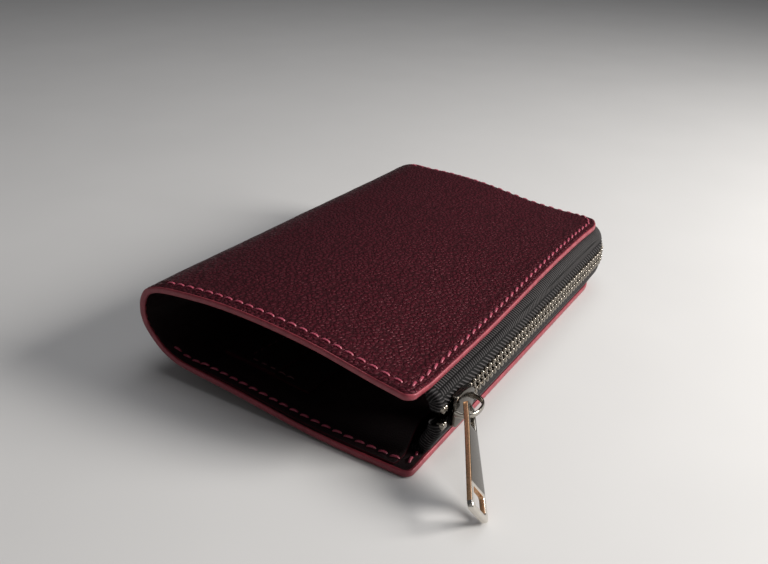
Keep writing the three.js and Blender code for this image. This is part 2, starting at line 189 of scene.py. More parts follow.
# ---- mesh helpers ---------------------------------------------------------
def make(name, verts, faces, mats, uv=None, face_mats=None, sharp=38.0, flat=False):
    """A piece from millimetre points. uv is one pair per vertex, in decimetres."""
    me = bpy.data.meshes.new(name)
    me.from_pydata(row(verts).tolist(), [], faces)
    if uv is not None:
        layer = me.uv_layers.new(name="Grain")
        loops = np.empty(len(me.loops), np.int32)
        me.loops.foreach_get("vertex_index", loops)
        layer.uv.foreach_set("vector", np.asarray(uv, np.float32)[loops].ravel())
    for m in mats if isinstance(mats, (list, tuple)) else [mats]:
        me.materials.append(m)
    if face_mats is not None:
        me.polygons.foreach_set("material_index", np.asarray(face_mats, np.int32))
    bm = bmesh.new()
    bm.from_mesh(me)
    bmesh.ops.recalc_face_normals(bm, faces=bm.faces)
    bm.to_mesh(me)
    bm.free()
    if not flat:
        me.polygons.foreach_set("use_smooth", [True] * len(me.polygons))
        me.set_sharp_from_angle(angle=math.radians(sharp))
    me.update()
    ob = bpy.data.objects.new(name, me)
    bpy.context.scene.collection.objects.link(ob)
    return ob


def grid_faces(nu, nv, base=0, flip=False):
    f = []
    for i in range(nu - 1):
        for j in range(nv - 1):
            a, b, c, d = base + i * nv + j, base + (i + 1) * nv + j, base + (i + 1) * nv + j + 1, base + i * nv + j + 1
            f.append((a, d, c, b) if flip else (a, b, c, d))
    return f


def slab(outer, inner):
    """Closed solid between two (nu, nv, 3) grids. Returns points and faces."""
    nu, nv = outer.shape[:2]
    n = nu * nv
    f = grid_faces(nu, nv) + grid_faces(nu, nv, n, True)
    at = lambda i, j: i * nv + j
    ring = [at(i, 0) for i in range(nu)] + [at(nu - 1, j) for j in range(1, nv)]
    ring += [at(i, nv - 1) for i in range(nu - 2, -1, -1)] + [at(0, j) for j in range(nv - 2, 0, -1)]
    for k in range(len(ring)):
        a, b = ring[k], ring[(k + 1) % len(ring)]
        f.append((a, a + n, b + n, b))
    return np.concatenate([outer.reshape(-1, 3), inner.reshape(-1, 3)]), f


def sweep(path, sections, closed_path=False):
    """Closed tube: path is not used; sections is (n, m, 3) points already in place."""
    n, m = sections.shape[:2]
    f = []
    last = n if closed_path else n - 1
    for i in range(last):
        a0, b0 = i * m, ((i + 1) % n) * m
        for j in range(m):
            k = (j + 1) % m
            f.append((a0 + j, a0 + k, b0 + k, b0 + j))
    pts = sections.reshape(-1, 3)
    if not closed_path:
        f.append(tuple(range(m))[::-1])
        f.append(tuple((n - 1) * m + j for j in range(m)))
    return pts, f


def join(parts):
    pts, faces, n = [], [], 0
    for p, f in parts:
        pts.append(np.asarray(p, float))
        faces += [tuple(i + n for i in q) for q in f]
        n += len(p)
    return np.concatenate(pts), faces


def stations(a, b, coarse, fine, ends=5.0):
    """Stations from a to b, fine within ends of both ends."""
    n1 = max(2, int(round(ends / fine)))
    mid = max(2, int(round((b - a - 2 * ends) / coarse)))
    return np.r_[np.linspace(a, a + ends, n1 + 1)[:-1], np.linspace(a + ends, b - ends, mid + 1), np.linspace(b - ends, b, n1 + 1)[1:]]


def wobble(x, y, seed=0.0):
    """Slow unevenness of about +-1."""
    return 0.5 * np.sin(x / 7.3 + 1.3 + seed) * np.sin(y / 9.1 + 0.4 + 2 * seed) + 0.32 * np.sin(x / 3.9 - y / 5.2 + seed) + 0.28 * np.sin(x / 12.5 + y / 6.1 + 2.1 * seed)


def noise2(x, y, seed=0):
    """Cheap value noise, about -1 to 1, the same each run."""
    xi, yi = np.floor(x), np.floor(y)
    fx, fy = x - xi, y - yi
    fx, fy = fx * fx * (3 - 2 * fx), fy * fy * (3 - 2 * fy)

    def h(a, b):
        v = np.sin(a * 127.1 + b * 311.7 + seed * 74.7) * 43758.5453
        return (v - np.floor(v)) * 2 - 1

    return (h(xi, yi) * (1 - fx) + h(xi + 1, yi) * fx) * (1 - fy) + (h(xi, yi + 1) * (1 - fx) + h(xi + 1, yi + 1) * fx) * fy


# ---- materials ------------------------------------------------------------
class Nodes:
    def __init__(self, name, **fixed):
        self.m = bpy.data.materials.new(name)
        self.m.use_nodes = True
        self.t = self.m.node_tree
        self.t.nodes.clear()
        self.out = self.t.nodes.new("ShaderNodeOutputMaterial")
        self.b = self.t.nodes.new("ShaderNodeBsdfPrincipled")
        self.t.links.new(self.b.outputs[0], self.out.inputs[0])
        for k, v in fixed.items():
            self.b.inputs[k.replace("_", " ")].default_value = v

    def n(self, kind, **props):
        node = self.t.nodes.new("ShaderNode" + kind)
        for k, v in props.items():
            if k.startswith("i_"):
                node.inputs[k[2:].replace("_", " ")].default_value = v
            else:
                setattr(node, k, v)
        return node

    def link(self, a, b):
        self.t.links.new(a, b)

    def coords(self, scale=1.0, uv=False, rot=(0, 0, 0)):
        """uv: the Grain map; otherwise the piece's own place. Both come out in millimetres times scale."""
        src = self.n("UVMap", uv_map="Grain") if uv else self.n("TexCoord")
        mp = self.n("Mapping")
        k = (100 if uv else 1000) * scale
        mp.inputs["Scale"].default_value = (k, k, k)
        mp.inputs["Rotation"].default_value = rot
        self.link(src.outputs["UV" if uv else "Object"], mp.inputs["Vector"])
        return mp.outputs[0]

    def stretch(self, vec, s):
        mp = self.n("Mapping")
        mp.inputs["Scale"].default_value = s
        self.link(vec, mp.inputs["Vector"])
        return mp.outputs[0]

    def noise(self, vec, scale, detail=3.0, rough=0.55, dist=0.0):
        t = self.n("TexNoise", i_Scale=scale, i_Detail=detail, i_Roughness=rough, i_Distortion=dist)
        self.link(vec, t.inputs["Vector"])
        return t.outputs[0]

    def voronoi(self, vec, scale, feature="F1", rnd=1.0):
        t = self.n("TexVoronoi", feature=feature)
        t.inputs["Scale"].default_value = scale
        t.inputs["Randomness"].default_value = rnd
        self.link(vec, t.inputs["Vector"])
        return t.outputs[0]

    def warp(self, vec, scale, amount):
        """vec moved about by noise."""
        t = self.n("TexNoise", i_Scale=scale, i_Detail=2.0)
        self.link(vec, t.inputs["Vector"])
        v = self.n("VectorMath", operation="MULTIPLY_ADD")
        self.link(t.outputs[1], v.inputs[0])
        v.inputs[1].default_value = (amount, amount, amount)
        self.link(vec, v.inputs[2])
        return v.outputs[0]

    def ramp(self, fac, stops, interp="LINEAR"):
        r = self.n("ValToRGB")
        r.color_ramp.interpolation = interp
        els = r.color_ramp.elements
        while len(els) < len(stops):
            els.new(0.5)
        for e, (p, c) in zip(els, stops):
            e.position = p
            e.color = (c, c, c, 1) if isinstance(c, (int, float)) else (*c, 1)
        self.link(fac, r.inputs[0])
        return r.outputs[0]

    def math(self, op, a, b=None, c=None):
        n = self.n("Math", operation=op)
        for i, v in enumerate((a, b, c)):
            if v is None:
                continue
            if isinstance(v, (int, float)):
                n.inputs[i].default_value = v
            else:
                self.link(v, n.inputs[i])
        return n.outputs[0]

    def mix(self, fac, a, b, blend="MIX"):
        n = self.n("Mix", data_type="RGBA", blend_type=blend)
        for sock, v in ((n.inputs[0], fac), (n.inputs[6], a), (n.inputs[7], b)):
            if isinstance(v, (int, float)):
                sock.default_value = v
            elif isinstance(v, tuple):
                sock.default_value = (*v, 1)
            else:
                self.link(v, sock)
        return n.outputs[2]

    def bump(self, height, distance_mm, strength=1.0, normal=None):
        n = self.n("Bump")
        n.inputs["Strength"].default_value = strength
        n.inputs["Distance"].default_value = distance_mm * 0.001
        self.link(height, n.inputs["Height"])
        if normal is not None:
            self.link(normal, n.inputs["Normal"])
        return n.outputs[0]

    def done(self, color=None, rough=None, normal=None):
        if color is not None:
            self.link(color, self.b.inputs["Base Color"])
        if rough is not None:
            self.link(rough, self.b.inputs["Roughness"])
        if normal is not None:
            self.link(normal, self.b.inputs["Normal"])
        return self.m


def pebbled_leather():
    g = Nodes("leather_pebbled", Specular_IOR_Level=0.34)
    g.b.inputs["Specular Tint"].default_value = (0.95, 0.36, 0.42, 1)
    c = g.coords(1.0, uv=True)
    w = g.warp(c, 0.8, 0.55)
    dome = g.voronoi(w, 0.92, "F1", 0.95)
    rim_ = g.voronoi(w, 0.92, "DISTANCE_TO_EDGE", 0.95)
    small = g.voronoi(w, 2.3, "F1", 1.0)
    fine = g.noise(c, 5.5, 3.0, 0.6)
    slow = g.noise(c, 0.05, 3.0)
    mid = g.noise(c, 0.33, 3.0)
    hb = g.ramp(dome, [(0.0, 1.0), (0.30, 0.86), (0.62, 0.40), (0.95, 0.0)])
    hr = g.ramp(rim_, [(0.0, 0.0), (0.07, 0.55), (0.22, 1.0)])
    hs = g.ramp(small, [(0.0, 1.0), (0.7, 0.0)])
    h = g.math("MULTIPLY_ADD", hs, 0.26, g.math("MULTIPLY", g.math("MULTIPLY", hb, hr), 0.74))
    h2 = g.math("MULTIPLY_ADD", fine, 0.12, h)
    n = g.bump(h2, 0.34, 1.0)
    crest = g.mix(mid, (0.0580, 0.0052, 0.0110), (0.0360, 0.0030, 0.0065))
    tone = g.mix(g.ramp(slow, [(0.35, 0.0), (0.65, 1.0)]), crest, (0.0500, 0.0050, 0.0100))
    # the pebbles' hollows take a near-black colour: painted shade in the grain's creases
    col = g.mix(g.ramp(h, [(0.0, 0.0), (0.5, 1.0)]), (0.0110, 0.0010, 0.0020), tone)
    r = g.math("MULTIPLY_ADD", fine, 0.16, g.math("MULTIPLY_ADD", h, -0.26, 0.46))
    return g.done(col, r, n)


def lining_leather():
    g = Nodes("lining_leather", Specular_IOR_Level=0.35)
    c = g.coords(1.0, uv=True)
    cells = g.voronoi(g.warp(c, 1.6, 0.4), 2.3, "DISTANCE_TO_EDGE", 1.0)
    hc = g.ramp(cells, [(0.0, 0.0), (0.12, 0.7), (0.4, 1.0)])
    fine = g.noise(c, 7.0, 3.0, 0.6)
    mid = g.noise(c, 0.22, 3.0)
    h = g.math("MULTIPLY_ADD", fine, 0.35, hc)
    # near-black lining, darker still along the grain's cell edges: painted shade for the dark inside of the wallet and
    # its creases
    col = g.mix(mid, (0.0085, 0.0014, 0.0024), (0.0140, 0.0020, 0.0036))
    col = g.mix(hc, (0.0045, 0.0008, 0.0014), col)
    return g.done(col, g.math("MULTIPLY_ADD", fine, 0.2, 0.42), g.bump(h, 0.09, 0.7))


def flesh_side():
    """Cut and back faces of the leather."""
    g = Nodes("leather_raw", Specular_IOR_Level=0.3)
    c = g.coords(1.0)
    f = g.noise(c, 4.0, 4.0, 0.65)
    col = g.mix(f, (0.030, 0.006, 0.009), (0.055, 0.012, 0.017))
    return g.done(col, g.math("MULTIPLY_ADD", f, 0.15, 0.72), g.bump(f, 0.08, 0.6))


def edge_paint(name="edge_paint", a=(0.25, 0.034, 0.047), b=(0.17, 0.020, 0.030), spec=1.0, coat=0.2):
    g = Nodes(name, Specular_IOR_Level=spec, Coat_Weight=coat, Coat_Roughness=0.42)
    g.b.inputs["Specular Tint"].default_value = (1.0, 0.46, 0.52, 1)
    c = g.coords(1.0)
    f = g.noise(c, 0.45, 3.0)
    k = g.noise(c, 3.2, 3.0, 0.6)
    col = g.mix(g.ramp(f, [(0.35, 0.0), (0.65, 1.0)]), a, b)
    col = g.mix(g.ramp(k, [(0.62, 0.0), (0.74, 0.55)]), col, (0.07, 0.006, 0.010))
    return g.done(col, g.math("MULTIPLY_ADD", k, 0.22, 0.34), g.bump(g.math("MULTIPLY_ADD", k, 0.5, f), 0.10, 0.6))


def thread_mat(name="thread_waxed", k=1.0):
    g = Nodes(name, Specular_IOR_Level=0.6, Sheen_Weight=0.2, Sheen_Roughness=0.4)
    g.b.inputs["Sheen Tint"].default_value = (1.0, 0.55, 0.65, 1)
    c = g.coords(1.0)
    f = g.noise(c, 6.0, 3.0, 0.6)
    s = g.noise(c, 0.4, 2.0)
    col = g.mix(s, (0.42, 0.056, 0.105), (0.30, 0.034, 0.066))
    col = g.mix(g.ramp(f, [(0.3, 0.6), (0.6, 0.0)]), col, (0.10, 0.008, 0.018))
    return g.done(col, g.math("MULTIPLY_ADD", f, 0.2, 0.30), g.bump(f, 0.05, 0.7))


def tape_mat():
    g = Nodes("tape_woven", Specular_IOR_Level=0.12)
    c = g.coords(1.0, uv=True)
    f = g.noise(c, 4.2, 3.0, 0.65)
    at = g.n("Attribute", attribute_type="GEOMETRY", attribute_name="Rib")
    rib = at.outputs["Fac"]
    s = g.noise(c, 0.15, 2.0)
    crest = g.mix(f, (0.0360, 0.0330, 0.0338), (0.1200, 0.1120, 0.1140))
    # the valleys between the ribs are coloured near-black: painted shade between the ribs
    col = g.mix(g.ramp(rib, [(0.46, 0.0), (0.95, 1.0)]), (0.0006, 0.0006, 0.0007), crest)
    col = g.mix(g.math("MULTIPLY", s, 0.30), col, (0.006, 0.0050, 0.0055))
    return g.done(col, g.math("MULTIPLY_ADD", f, 0.22, 0.55), g.bump(f, 0.06, 0.7))


def metal(name, a, b, rough, grime=0.5, low=0.58):
    g = Nodes(name, Metallic=1.0)
    c = g.coords(1.0)
    f = g.noise(c, 0.7, 4.0, 0.6)
    k = g.noise(g.stretch(c, (1.0, 1.0, 1.0)), 4.5, 4.0, 0.65, 0.3)
    sc = g.noise(g.stretch(c, (5.0, 0.5, 2.2)), 2.0, 3.0, 0.7)
    col = g.mix(f, a, b)
    col = g.mix(g.ramp(k, [(low, 0.0), (low + 0.18, grime)]), col, (0.16, 0.105, 0.060))
    r = g.math("MULTIPLY_ADD", g.ramp(sc, [(0.35, 0.0), (0.75, 1.0)]), 0.16, rough)
    r = g.math("MULTIPLY_ADD", g.ramp(k, [(0.5, 0.0), (0.8, 1.0)]), 0.22, r)
    return g.done(col, r, g.bump(g.math("MULTIPLY_ADD", sc, 0.4, k), 0.012, 0.5))


LEATHER = pebbled_leather()
LINING_PAINTED_SHADE = lining_leather()
RAW = flesh_side()
PAINT = edge_paint()
# a darkened copy of the edge paint for the pocket leaves inside: painted shade
EDGE_PAINT_PAINTED_SHADE = edge_paint("edge_paint_inner_painted_shade", (0.030, 0.0035, 0.006), (0.018, 0.002, 0.004), 0.3, 0.0)
THREAD = thread_mat()
# a darkened copy of the thread for the card-slot seams inside: painted shade
THREAD_PAINTED_SHADE = thread_mat("thread_painted_shade")
for _n in THREAD_PAINTED_SHADE.node_tree.nodes:
    if _n.type == "MIX":
        for _i in (6, 7):
            _c = _n.inputs[_i].default_value
            _n.inputs[_i].default_value = (_c[0] * 0.22, _c[1] * 0.3, _c[2] * 0.25, 1)
TAPE = tape_mat()
# nickel of the teeth, with its colour darkened to stand in for reflections of a dark surround: painted dark reflection
TEETH = metal("teeth_nickel", (0.34, 0.31, 0.27), (0.18, 0.16, 0.135), 0.13, 0.8)
NICKEL = metal("nickel_polished", (0.44, 0.41, 0.365), (0.30, 0.27, 0.235), 0.09, 0.55)
# a near-black copy of the nickel for the slider and the puller's faces: painted dark reflection
NICKEL_PAINTED_DARK_REFLECTION = metal("nickel_face_painted_dark_reflection", (0.135, 0.122, 0.106), (0.085, 0.076, 0.065), 0.10, 0.5)
# a lighter copy of the nickel for the puller's free end: painted highlight
NICKEL_PAINTED_HIGHLIGHT = metal("nickel_painted_highlight", (0.74, 0.71, 0.66), (0.60, 0.56, 0.50), 0.10, 0.30)
# a copper-coloured copy of the nickel for the puller's side faces, with grime spots: painted warm reflection
NICKEL_EDGE_PAINTED_WARM_REFLECTION = metal("nickel_edge_painted_warm_reflection", (0.98, 0.66, 0.41), (0.74, 0.40, 0.21), 0.36, 0.9, 0.50)


def spine_blend(ob):
    x = float(row([0, 0, 0])[0])
    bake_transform(ob)
    return ob


# ---- leather cover and lining ----------------------------------------------
FAR_ANGLES = np.radians(np.arange(4, 90.1, 4.0))
YS = np.r_[0, 0.08, 0.2, 0.36, 0.55, 0.75, np.arange(0.95, 2.4, 0.14), np.arange(2.4, 5.0, 0.26), np.linspace(5.1, 104.0, 126), 104.8, 105.7, S1]
YS = np.r_[YS, S1 + CORNER_R * np.sin(np.radians(np.arange(4, 68, 4.0))), np.arange(COVER_L - 0.85, COVER_L - 0.18, 0.14), COVER_L - 0.12, COVER_L - 0.05, COVER_L]


def w_stations():
    e = np.r_[0, 0.08, 0.2, 0.36, 0.55, 0.75, np.arange(0.95, 2.4, 0.14), np.arange(2.4, 5.0, 0.26)]
    b = np.r_[e, np.linspace(5.1, ARC_B, 96)] / ARC_B
    f = np.r_[e, np.linspace(5.1, ARC_F, 90)] / ARC_F
    return np.r_[b, 2 - f[::-1][1:]]


WS = w_stations()
ARC = lambda w: np.where(w <= 1, w * ARC_B, ARC_B + (w - 1) * ARC_F)


def edge_fade(w):
    """1 on the flat covers, 0 round the spine."""
    return np.clip(1 - smooth(0.86, 0.96, w) + smooth(1.06, 1.14, w), 0, 1)


def relief(w, y, x):
    """How far the outer face is pressed in (positive) or swollen (negative)."""
    d = rim(x, y)
    k = edge_fade(w)
    zip_side = smooth(0.0, 2.5, y - (COVER_W - x))       # 0 by the open side, 1 along the zip
    groove = np.exp(-(((d - (2.6 - 0.55 * zip_side)) / 0.50) ** 2))
    crease = np.exp(-(((d - 1.15) / 0.20) ** 2))
    lip = smooth(0.95, 0.0, d)
    front = smooth(1.0, 1.12, w)
    out = k * (0.20 * groove + 0.15 * crease + 0.24 * lip)
    swell = np.exp(-(((d - 3.7) / 0.9) ** 2)) * 0.08 * k
    soft = front * 0.085 * wobble(x, y) * smooth(3.5, 9, d) + 0.05 * noise2(ARC(w) / 2.6, y / 2.6, 3) * smooth(1, 4, d)
    return out - swell * front - soft * np.where(w < 0.9, 0.0, 1.0)


def cover_leather():
    W, Yg = np.meshgrid(WS, YS, indexing="ij")
    base, _ = shell(W, Yg, 0.0)
    outer, _ = shell(W, Yg, relief(W, Yg, base[..., 0]))
    inner, _ = shell(W, Yg, OUTER_T)
    outer[..., 2] = np.maximum(outer[..., 2], 0.0)
    pts, f = slab(outer, inner)
    uv = np.stack([ARC(W) / 100, Yg / 100], -1).reshape(-1, 2)
    n = len(grid_faces(len(WS), len(YS)))
    fm = [0] * n + [1] * (len(f) - n)
    ob = make("cover_leather", pts, f, [LEATHER, RAW], np.r_[uv, uv + 0.01], fm)
    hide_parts("outer_shell_back", "outer_shell_front")
    return spine_blend(ob)


def cover_lining():
    ws, ys = WS[::1], YS
    W, Yg = np.meshgrid(ws, ys, indexing="ij")
    base, _ = shell(W, Yg, LIN1)
    d = rim(base[..., 0], Yg)
    press = edge_fade(W) * 0.12 * np.exp(-(((d - STITCH_INSET) / 0.6) ** 2))
    # creases where the lining is folded into the spine
    crease = np.exp(-(((W - 1) / 0.10) ** 2)) * 0.10 * np.sin(ARC(W) * 2 * math.pi / 2.4 + 0.6 * np.sin(Yg / 11))
    outer, _ = shell(W, Yg, LIN1 - press + crease)
    inner, _ = shell(W, Yg, LIN0)
    pts, f = slab(inner, outer)
    uv = np.stack([ARC(W) / 100, Yg / 100], -1).reshape(-1, 2)
    ob = make("cover_lining", pts, f, [LINING_PAINTED_SHADE], np.r_[uv + 0.01, uv])
    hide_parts("lining_back", "lining_front")
    return spine_blend(ob)


def boundary():
    """The covers' cut edge as (w, y), once round."""
    b = stations(0, ARC_B, 0.8, 0.4) / ARC_B
    f = stations(0, ARC_F, 0.8, 0.4) / ARC_F
    ws = np.r_[b, 1 + f[1:]]
    near_a = np.radians(np.arange(0, 90, 9.0))
    ys = np.r_[NEAR_R * (1 - np.cos(near_a)), np.linspace(NEAR_R, S1, 132), S1 + CORNER_R * np.sin(np.radians(np.arange(4, 90.1, 4.0)))]
    a = np.stack([ws, 0 * ws], 1)
    c = np.stack([0 * ys + 2, ys], 1)
    return np.concatenate([a[:-1], c[:-1], np.stack([ws[::-1], 0 * ws + COVER_L], 1)[:-1], np.stack([0 * ys, ys[::-1]], 1)[:-1]])


def painted_edge():
    loop = boundary()
    mid = (LIN1 - 0.02) / 2
    P, N = shell(loop[:, 0], loop[:, 1], mid)
    T = np.roll(P, -1, 0) - np.roll(P, 1, 0)
    T /= np.linalg.norm(T, axis=1)[:, None]
    out = np.cross(T, N)
    out /= np.linalg.norm(out, axis=1)[:, None]
    if out[20, 1] > 0:
        out = -out
    k = edge_fade(loop[:, 0])
    top, low = 0.20 * k - 0.01 * (1 - k), LIN1 + 0.06     # depths that the bead spans
    s = np.r_[0, np.cumsum(np.linalg.norm(np.diff(P, axis=0), axis=1))]
    # (outwards, share of the way from the outer face to the lining)
    sec = [(-0.45, 0.06), (-0.16, 0.0), (0.02, -0.015), (0.13, 0.03), (0.22, 0.14), (0.275, 0.31), (0.29, 0.5), (0.275, 0.69), (0.22, 0.86), (0.13, 0.97), (0.02, 1.015), (-0.16, 1.0), (-0.45, 0.96)]
    rings = []
    for a, b in sec:
        v = 1 + 0.12 * noise2(s / 1.9, 0 * s + a * 3 + b, 5) + 0.08 * noise2(s / 0.7, 0 * s + b, 6)
        aa = a * v if a > 0 else a + 0 * v
        off = top + (low - top) * b - mid
        rings.append(P + out * np.asarray(aa)[:, None] + N * np.asarray(off)[:, None])
    R = np.stack(rings, 1)
    R[..., 2] = np.maximum(R[..., 2], 0.0)
    pts, f = sweep(None, R, True)
    ob = make("painted_edge", pts, f, PAINT)
    return spine_blend(ob)


# ---- stitches ---------------------------------------------------------------
def stitch_template(length=2.45, rad=0.32, twist=1.3, nseg=12, nring=13, rise=0.20):
    rings = []
    for i in range(nring):
        t = i / (nring - 1)
        q = abs(2 * t - 1)
        h = -0.26 + (rise + 0.26) * (1 - q**2.5)
        r = rad * (1 - 0.30 * q**4)
        ring = []
        for j in range(nseg):
            a = 2 * math.pi * j / nseg
            rr = r * (1 + 0.10 * math.cos(3 * (a - 2 * math.pi * twist * t)))
            ring.append(((t - 0.5) * length, rr * math.cos(a), h + 0.85 * rr * math.sin(a)))
        rings.append(ring)
    return sweep(None, np.array(rings))


TEMPLATE = stitch_template()


def rows_of_stitches(name, spots, body, replaces=(), slant=12.0, template=None, mat=None):
    """spots: (point, along, normal) for each stitch."""
    tp, tf = template or TEMPLATE
    parts = []
    for i, (p, t, n) in enumerate(spots):
        n = np.array(n, float) / np.linalg.norm(n)
        t = np.array(t, float)
        t = t - n * (t @ n)
        t /= np.linalg.norm(t)
        b = np.cross(n, t)
        j = math.sin(i * 12.9898 + 4.1) * 43758.5453
        j = (j - math.floor(j)) * 2 - 1
        a = math.radians(slant + 2.5 * j)
        t2 = t * math.cos(a) + b * math.sin(a)
        b2 = np.cross(n, t2)
        q = tp * np.array([1 + 0.03 * j, 1.0, 1 + 0.06 * j])
        parts.append((np.asarray(p) + q[:, :1] * t2 + q[:, 1:2] * b2 + q[:, 2:] * n, tf))
    pts, f = join(parts)
    ob = make(name, pts, f, mat or THREAD, sharp=60)
    if replaces:
        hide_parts(*replaces)
    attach(ob, body)
    return ob


def cover_spot(side, x, y, off, t, outward, lift=None):
    """A point on the cover at that depth, with the face's own normal."""
    def z_at(xx, yy):
        u = u_at(side, xx, yy, off)
        p, _ = half(side, u, yy, off)
        z = float(p[2])
        if lift is not None:
            z += (1 if side == "back" else -1) * float(lift(xx, yy))
        return z
    e = 0.4
    z = z_at(x, y)
    gx = (z_at(x + e, y) - z_at(x - e, y)) / (2 * e)
    y0, y1 = max(0.02, y - e), min(COVER_L - 0.02, y + e)
    gy = (z_at(x, y1) - z_at(x, y0)) / (y1 - y0)
    up = np.array([-gx, -gy, 1.0])
    up /= np.linalg.norm(up)
    if not outward:
        up = -up
    return np.array([x, y, z]), np.array([t[0], t[1], t[0] * gx + t[1] * gy]), up


def seam_xy(first_x):
    """Stitch centres round the three sides, with the direction of the seam."""
    i = STITCH_INSET - 0.95
    near_i = STITCH_INSET - 0.4
    out = []
    xs = np.arange(COVER_W - i, first_x - 0.1, -STITCH_PITCH)[::-1]
    for x in xs:
        if x < COVER_W - i - 0.5:
            out.append((x, near_i, (1, 0), "near"))
    y = near_i + 1.6
    while y < S1:
        out.append((COVER_W - i, y, (0, 1), "zip"))
        y += STITCH_PITCH
    r = CORNER_R - i
    s = y - S1
    while s < r * math.pi / 2:
        a = s / r
        out.append((COVER_W - CORNER_R + r * math.cos(a), S1 + r * math.sin(a), (-math.sin(a), math.cos(a)), "zip"))
        s += STITCH_PITCH
    x = COVER_W - CORNER_R - (s - r * math.pi / 2)
    while x > first_x:
        out.append((x, COVER_L - i, (-1, 0), "far"))
        x -= STITCH_PITCH
    return out


def gape(x, y):
    return 4.6 * smooth(46, 72.5, x) * smooth(4.2, 11, y) * (1 - 0.75 * smooth(70, 104, y))


def seams():
    spots = []
    for x, y, t, _ in seam_xy(7.6):
        spots.append(cover_spot("front", x, y, 0.14, t, True))
    rows_of_stitches("stitching_front", spots, "front", replaces=["seam_thread_front"])
    inner_f, inner_b, under = [], [], []
    for x, y, t, where in seam_xy(9.0):
        on_tape = where != "near" and x > FAR_END_X + 0.5 and y > 9
        inner_f.append(cover_spot("front", x, y, LIN1 + (TAPE_T + 0.40 if on_tape else -0.04), t, False))
        on_panel = where == "near" and 17.5 < x < 73.5
        o = LIN1 + (TAPE_T + 0.40 if on_tape else 0.45 if on_panel else -0.04)
        inner_b.append(cover_spot("back", x, y, o, t, True))
        p, tt, n = cover_spot("back", x, y, 0.0, t, False)
        p = p + np.array([0, 0, 0.46])
        under.append((p, tt, n))
    rows_of_stitches("stitching_front_inside", inner_f, "front")
    rows_of_stitches("stitching_back_inside", inner_b, "back", replaces=["seam_thread_back"])
    rows_of_stitches("stitching_underside", under, "back")


# ---- pockets ----------------------------------------------------------------
def leaf(name, side, u0, u1, y0, y1, o0, o1, node, lift=None, mats=None, skive=0.0):
    """A leather leaf between two stations, with thinned round edges."""
    L = (ARC_B if side == "back" else ARC_F) * (u1 - u0)
    us = u0 + (u1 - u0) * np.r_[0, 0.18 / L, 0.5 / L, np.linspace(1.2 / L, 1 - 1.2 / L, max(6, int(L / 0.9))), 1 - 0.5 / L, 1 - 0.18 / L, 1]
    H = y1 - y0
    ys = y0 + H * np.r_[0, 0.18 / H, 0.5 / H, np.linspace(1.2 / H, 1 - 1.2 / H, max(6, int(H / 1.0))), 1 - 0.5 / H, 1 - 0.18 / H, 1]
    U, Yg = np.meshgrid(us, ys, indexing="ij")
    e = np.minimum(np.minimum((U - us[0]) / (us[-1] - us[0]) * L, (us[-1] - U) / (us[-1] - us[0]) * L), np.minimum(Yg - ys[0], ys[-1] - Yg))
    thick = (o1 - o0) * (1 - skive * smooth(7.0, 3.4, Yg))
    half_t = thick / 2 * np.where(e < 0.05, 0.42, np.where(e < 0.3, 0.84, 1.0))
    mid = o0 + thick / 2
    turn = 0.07 * np.exp(-(((e - 1.7) / 0.35) ** 2)) * (1 if mats is None else 0)

    def at(off):
        p, _ = half(side, U, Yg, off)
        if lift is not None:
            p[..., 2] += (1 if side == "back" else -1) * lift(p[..., 0], Yg)
        return p
    free, under = at(mid + half_t - turn), at(mid - half_t)
    pts, f = slab(under, free)
    uv = np.stack([U * L / (u1 - u0) / 100 + 0.37, Yg / 100 + 0.21], -1).reshape(-1, 2)
    # the border ring of faces is edge paint, in its darkened copy: painted shade
    n = len(grid_faces(len(us), len(ys)))
    fm = [0] * len(f)
    nu, nv = len(us), len(ys)
    for k in range(2):
        for i in range(nu - 1):
            for j in range(nv - 1):
                if i < 1 or j < 1 or i > nu - 3 or j > nv - 3:
                    fm[k * n + i * (nv - 1) + j] = 1
    for k in range(2 * n, len(f)):
        fm[k] = 1
    ob = make(name, pts, f, [LINING_PAINTED_SHADE, EDGE_PAINT_PAINTED_SHADE], np.r_[uv, uv], fm)
    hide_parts(node)
    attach(ob, side)
    return ob


def pockets():
    leaf("slip_pocket_lower", "back", 0.045, 0.71, 0.6, S1, P0, P1, "slip_pocket_back", gape, skive=0.5)
    leaf("slip_pocket_upper", "front", 0.31, 0.91, 9, S1, P0, P1, "slip_pocket_front")
    off = P1 + GAP
    for i, u1 in enumerate([0.79, 0.70, 0.60]):
        leaf("card_slot_upper_%d" % (i + 1), "front", 0.31, u1, 9, 80, off, off + LEAF_T, "card_slot_front_%d" % (i + 1))
        off += LEAF_T + GAP
    top_f = off
    off = P1 + GAP
    for i, u0 in enumerate([0.40, 0.52]):
        leaf("card_slot_lower_%d" % (i + 1), "back", u0, 0.71, 9, 80, off, off + LEAF_T, "card_slot_back_%d" % (i + 1), gape)
        off += LEAF_T + GAP
    top_b = off
    # seams that hold the card slots: along their closed edge and their two ends
    small = stitch_template(2.0, 0.20, 1.1, 10, 9, 0.12)
    spots = []
    for x in np.arange(24.0, 50.0, 2.7):
        for y in (10.6, 78.4):
            spots.append(cover_spot("front", x, y, top_f - GAP - 0.03, (1, 0), False))
    for y in np.arange(13.0, 77.0, 2.7):
        spots.append(cover_spot("front", 22.6, y, top_f - GAP - 0.03, (0, 1), False))
    rows_of_stitches("stitching_card_slots_upper", spots, "front", slant=8, template=small, mat=THREAD_PAINTED_SHADE)
    spots = []
    for x in np.arange(27.0, 38.0, 2.7):
        for y in (10.6, 78.4):
            spots.append(cover_spot("back", x, y, top_b - GAP - 0.03, (1, 0), True, gape))
    for y in np.arange(13.0, 77.0, 2.7):
        spots.append(cover_spot("back", 25.0, y, top_b - GAP - 0.03, (0, 1), True, gape))
    rows_of_stitches("stitching_card_slots_lower", spots, "back", slant=8, template=small, mat=THREAD_PAINTED_SHADE)


